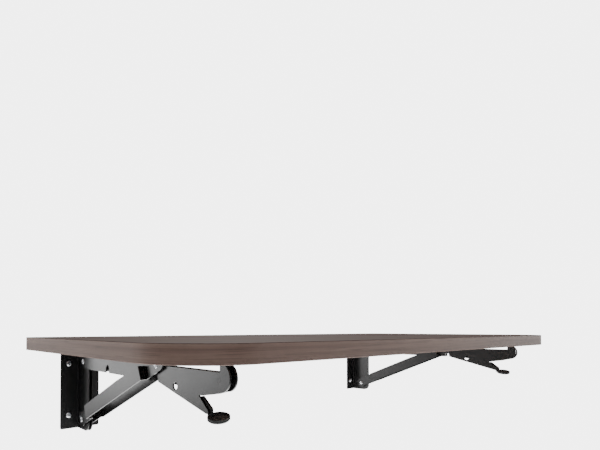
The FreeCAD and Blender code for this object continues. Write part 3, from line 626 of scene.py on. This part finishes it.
class TABLE_OT_pins(bpy.types.Operator):
    """Domed hinge pins, foot pins, spacer rings and knee rivets"""
    bl_idname = "table.pins"
    bl_label = "Pins and rivets"

    def execute(self, context):
        zinc = bright_zinc()
        for side in SIDES:
            for part in ("hinge_pin", "foot_pin"):
                node = side + "_" + part
                low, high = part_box(node)
                half = (high.x - low.x) / 2
                head = (high.z - low.z) / 2
                mesh = two_headed_pin(node + "_domed", middle(node), PIN_RADIUS, head,
                                      half - PIN_HEAD, PIN_HEAD)
                piece = new_piece(node + "_domed", mesh, zinc, "wall_mounts")
                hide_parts(node)
            dress(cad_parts[side + "_foot_spacers"], zinc)
            self.knee(side, zinc)
        return {"FINISHED"}

    def knee(self, side, zinc):
        """Two short rivets, mirror images across the bracket's middle plane."""
        node = side + "_knee_rivets"
        low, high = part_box(node)
        centre = (low + high) / 2
        head = (high.z - low.z) / 2
        crown = (high.x - low.x) / 2 - BAR_OUTSIDE
        profile = [(0.0, BOSS_INSIDE), (head, BOSS_INSIDE), (head, BAR_INSIDE),
                   (STUD_RADIUS, BAR_INSIDE), (STUD_RADIUS, BAR_OUTSIDE),
                   (head * 0.97, BAR_OUTSIDE), (head, BAR_OUTSIDE + 0.2 * MM)]
        profile += dome(head * 0.98, crown * 0.85, BAR_OUTSIDE + crown * 0.15)
        meshes = [ring_mesh("rivet", turned(profile, (sign, 0, 0), centre)) for sign in (-1, 1)]
        mesh = join_meshes(node + "_domed", meshes)
        piece = new_piece(node + "_domed", mesh, zinc, side + "_brace")
        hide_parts(node)


class TABLE_OT_arm_screws(bpy.types.Operator):
    """Pan head screws from the arms into the board"""
    bl_idname = "table.arm_screws"
    bl_label = "Arm screws"

    def execute(self, context):
        zinc = bright_zinc()
        for side in SIDES:
            node = side + "_arm_screws"
            low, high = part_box(node)
            length = high.z - low.z - ARM_SCREW_HEIGHT
            meshes = []
            for x in (low.x + ARM_SCREW_HEAD, high.x - ARM_SCREW_HEAD):
                for y in (low.y + ARM_SCREW_HEAD, high.y - ARM_SCREW_HEAD):
                    turn = 0.6 + 37.0 * (x + y)
                    place = (x, y, low.z + ARM_SCREW_HEIGHT)
                    meshes.append(crossed_screw("screw", place, (0, 0, -1), ARM_SCREW_HEAD,
                                                ARM_SCREW_HEIGHT, ARM_SCREW_SHANK, length, turn))
            mesh = join_meshes(node + "_crossed", meshes)
            piece = new_piece(node + "_crossed", mesh, zinc, "table")
            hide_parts(node)
        return {"FINISHED"}


class TABLE_OT_wall_screws(bpy.types.Operator):
    """Four pan head screws in the holes of each wall plate"""
    bl_idname = "table.wall_screws"
    bl_label = "Wall screws"

    def execute(self, context):
        zinc = bright_zinc()
        sizes = settings().hardware
        for side in SIDES:
            low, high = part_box(side + "_wall_plate")
            centre = (low.x + high.x) / 2
            meshes = []
            for x in (centre - WALL_HOLES_APART / 2, centre + WALL_HOLES_APART / 2):
                for z in (low.z + WALL_HOLES_IN, high.z - WALL_HOLES_IN):
                    turn = 0.4 + 23.0 * (x + z)
                    meshes.append(crossed_screw("screw", (x, -WALL_SHEET, z), (0, -1, 0),
                                                sizes.wall_head / 2, sizes.wall_head_height,
                                                WALL_SHANK, WALL_SHEET, turn))
            mesh = join_meshes(side + "_wall_screws", meshes)
            new_piece(side + "_wall_screws", mesh, zinc, "wall_mounts")
        return {"FINISHED"}


class TABLE_OT_finger_pads(bpy.types.Operator):
    """Moulded finger pads with softened edges"""
    bl_idname = "table.finger_pads"
    bl_label = "Finger pads"

    def execute(self, context):
        plastic = moulded_abs()
        for side in SIDES:
            node = side + "_finger_pad"
            softened(node, node + "_moulded", plastic, side + "_lever",
                     PAD_EDGE)
        return {"FINISHED"}


class TABLE_OT_springs(bpy.types.Operator):
    """Torsion springs around the lever pins"""
    bl_idname = "table.springs"
    bl_label = "Lever springs"

    def execute(self, context):
        steel = spring_steel()
        wire = settings().hardware.spring_wire
        for side in SIDES:
            mesh = coil(side + "_lever_spring", middle(side + "_lever_pin"), COIL_RADIUS, wire,
                        COIL_TURNS, COIL_WIDTH, COIL_LEG)
            new_piece(side + "_lever_spring", mesh, steel, "table")
        return {"FINISHED"}


class TABLE_OT_stage(bpy.types.Operator):
    """Pale floor, soft studio light and the camera"""
    bl_idname = "table.stage"
    bl_label = "Stage"

    def execute(self, context):
        stage = settings().stage
        self.floor(stage)
        self.world()
        self.light("key_light", (-1.6, -1.9, 1.9), (0, -0.2, 0), 1.6, stage.key_power)
        for panel in PANELS:
            self.light(*panel)
        self.camera(stage)
        return {"FINISHED"}

    def floor(self, stage):
        """Round pale floor whose edge fades into the white surroundings."""
        angle = np.linspace(0, 2 * np.pi, 96, endpoint=False)
        radius = np.array(FLOOR_RINGS)[:, None]
        points = np.stack([radius * np.cos(angle), radius * np.sin(angle),
                           np.full((len(FLOOR_RINGS), 96), -stage.floor_drop)], axis=-1)
        mesh = ring_mesh("floor", points)
        floor = bpy.data.objects.new("floor", mesh)
        bpy.context.collection.objects.link(floor)
        material, tree = new_material("pale_studio_floor")
        if tree:
            place = add(tree, "ShaderNodeTexCoord").outputs["Object"]
            cloud = add(tree, "ShaderNodeTexNoise", {"Vector": place, "Scale": 1.5})
            tone = add(tree, "ShaderNodeMix", {"Factor": cloud.outputs["Fac"],
                                               6: linear("#f4f4f3"), 7: linear("#f7f7f7")},
                       data_type="RGBA")
            flat = add(tree, "ShaderNodeVectorMath", {0: place, 1: (1, 1, 0)},
                       operation="MULTIPLY").outputs["Vector"]
            reach = add(tree, "ShaderNodeVectorMath", {0: flat}, operation="LENGTH")
            fade = add(tree, "ShaderNodeMapRange",
                       {"Value": reach.outputs["Value"], "From Min": FLOOR_FADE[0],
                        "From Max": FLOOR_FADE[1], "To Min": 1.0, "To Max": 0.0},
                       interpolation_type="SMOOTHSTEP")
            surface(tree, {"Base Color": tone.outputs[2], "Roughness": 0.9,
                           "Alpha": fade.outputs["Result"]})
        dress(floor, material)

    def world(self):
        """Even white surroundings, less bright for the light they give than for the eye."""
        world = bpy.data.worlds.new("studio")
        world.use_nodes = True
        tree = world.node_tree
        tree.nodes.clear()
        path = add(tree, "ShaderNodeLightPath")
        level = add(tree, "ShaderNodeMapRange",
                    {"Value": path.outputs["Is Camera Ray"], "To Min": SURROUNDINGS_LIT,
                     "To Max": SURROUNDINGS_SEEN})
        sky = add(tree, "ShaderNodeBackground",
                  {"Color": (1, 1, 1, 1), "Strength": level.outputs["Result"]})
        add(tree, "ShaderNodeOutputWorld", {"Surface": sky.outputs["Background"]})
        bpy.context.scene.world = world

    def light(self, name, place, aim, size, power):
        """Round area light aimed at a point."""
        data = bpy.data.lights.new(name, "AREA")
        data.shape = "DISK"
        data.size = size
        data.energy = power
        lamp = bpy.data.objects.new(name, data)
        bpy.context.collection.objects.link(lamp)
        lamp.location = place
        lamp.rotation_euler = (Vector(aim) - Vector(place)).to_track_quat("-Z", "Y").to_euler()

    def camera(self, stage):
        """Camera near table height, to the left of the table and turned toward its middle."""
        data = bpy.data.cameras.new("camera")
        data.sensor_width = 36.0
        data.lens = stage.lens
        data.shift_x, data.shift_y = CAMERA_SHIFT
        data.clip_start = 0.01
        data.clip_end = 60
        camera = bpy.data.objects.new("camera", data)
        bpy.context.collection.objects.link(camera)
        camera.location = CAMERA_PLACE
        camera.rotation_euler = (math.pi / 2 + CAMERA_RISE, 0, CAMERA_TURN)
        bpy.context.scene.camera = camera


class TABLE_PT_sidebar(bpy.types.Panel):
    """Lists the pieces of the table"""
    bl_idname = "TABLE_PT_sidebar"
    bl_label = "Drop leaf table"
    bl_space_type = "VIEW_3D"
    bl_region_type = "UI"
    bl_category = "Table"

    def draw(self, context):
        for operator in PIECES:
            self.layout.operator(operator.bl_idname)
        for group in ("wood", "metal", "sheet", "hardware", "stage"):
            box = self.layout.box()
            part = getattr(settings(), group)
            for name in part.bl_rna.properties.keys():
                if name not in ("rna_type", "name"):
                    box.prop(part, name)


GROUPS = (WoodFinish, MetalFinish, SheetSizes, HardwareSizes, StageSettings, TableSettings)
PIECES = (TABLE_OT_stage, TABLE_OT_panel_board, TABLE_OT_edge_bands, TABLE_OT_bracket_sheets,
          TABLE_OT_pins, TABLE_OT_arm_screws, TABLE_OT_wall_screws, TABLE_OT_finger_pads,
          TABLE_OT_springs)


def register():
    """Register the classes and the settings."""
    for item in GROUPS + PIECES + (TABLE_PT_sidebar,):
        bpy.utils.register_class(item)
    bpy.types.Scene.drop_leaf_table = bpy.props.PointerProperty(type=TableSettings)


def unregister():
    """Remove the settings and the classes."""
    del bpy.types.Scene.drop_leaf_table
    for item in reversed(GROUPS + PIECES + (TABLE_PT_sidebar,)):
        bpy.utils.unregister_class(item)


def main():
    """Make every piece."""
    register()
    for operator in PIECES:
        group, name = operator.bl_idname.split(".")
        getattr(getattr(bpy.ops, group), name)()


if __name__ == "__main__":
    main()
